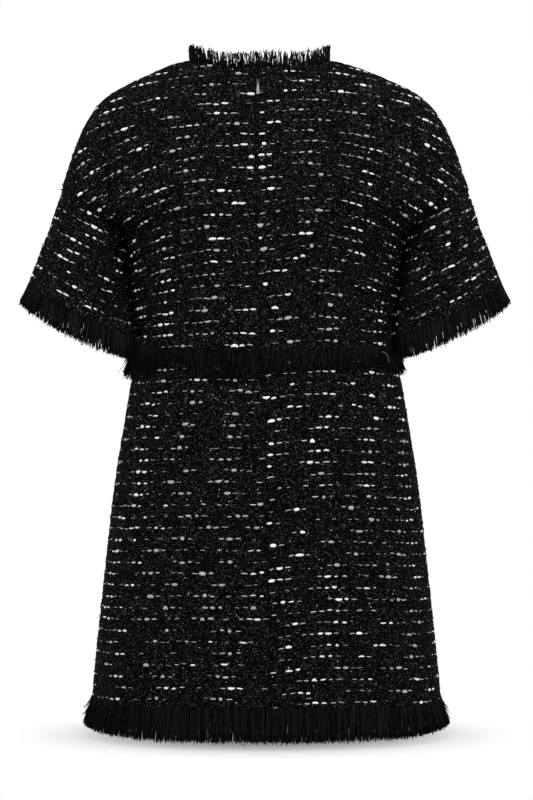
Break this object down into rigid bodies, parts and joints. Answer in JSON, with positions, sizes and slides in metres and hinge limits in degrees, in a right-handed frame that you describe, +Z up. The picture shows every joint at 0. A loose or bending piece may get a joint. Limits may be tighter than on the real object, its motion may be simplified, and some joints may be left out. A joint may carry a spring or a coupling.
{
  "type": "shift dress",
  "caption": "Hollow, worn-shape slub tweed shift dress with dropped half sleeves, fringed neck, cuffs, waist and hem, and a concealed back zip.",
  "frame": {"origin": "on the body's centre plane between the shoulders, level with the sides of the neck edge, where the wearer carries the dress", "axes": "+Z up along the wearer's spine; the wearer's back faces -Y and the front +Y; +X is the wearer's right as seen from behind"},
  "size_m": [0.5908, 0.2642, 0.8381],
  "materials": {
    "tweed": "black boucle tweed with white and grey slubs, matt",
    "fringe_yarn": "black yarn ends, matt",
    "zip_tape": "black woven tape, matt",
    "zip_metal": "satin grey metal"
  },
  "bodies": {
    "dress": {"bodice_front": "tweed", "bodice_back_left": "tweed", "bodice_back_right": "tweed", "sleeve_left": "tweed", "sleeve_right": "tweed", "skirt_front": "tweed", "skirt_back_left": "tweed", "skirt_back_right": "tweed", "neck_fringe": "fringe_yarn", "cuff_fringe_left": "fringe_yarn", "cuff_fringe_right": "fringe_yarn", "waist_fringe": "fringe_yarn", "hem_fringe": "fringe_yarn", "zip_tape_left": "zip_tape", "zip_tape_right": "zip_tape", "zip_slider": "zip_metal"},
    "pull_tab": {"zip_pull_tab": "zip_metal"}
  },
  "joints": [
    {"name": "pull_tab_hinge", "type": "hinge", "parent": "dress", "child": "pull_tab", "pos_m": [-0.00847, -0.0728, -0.03554], "axis": [-1, 0, 0], "range_deg": [0, 150]}
  ]
}
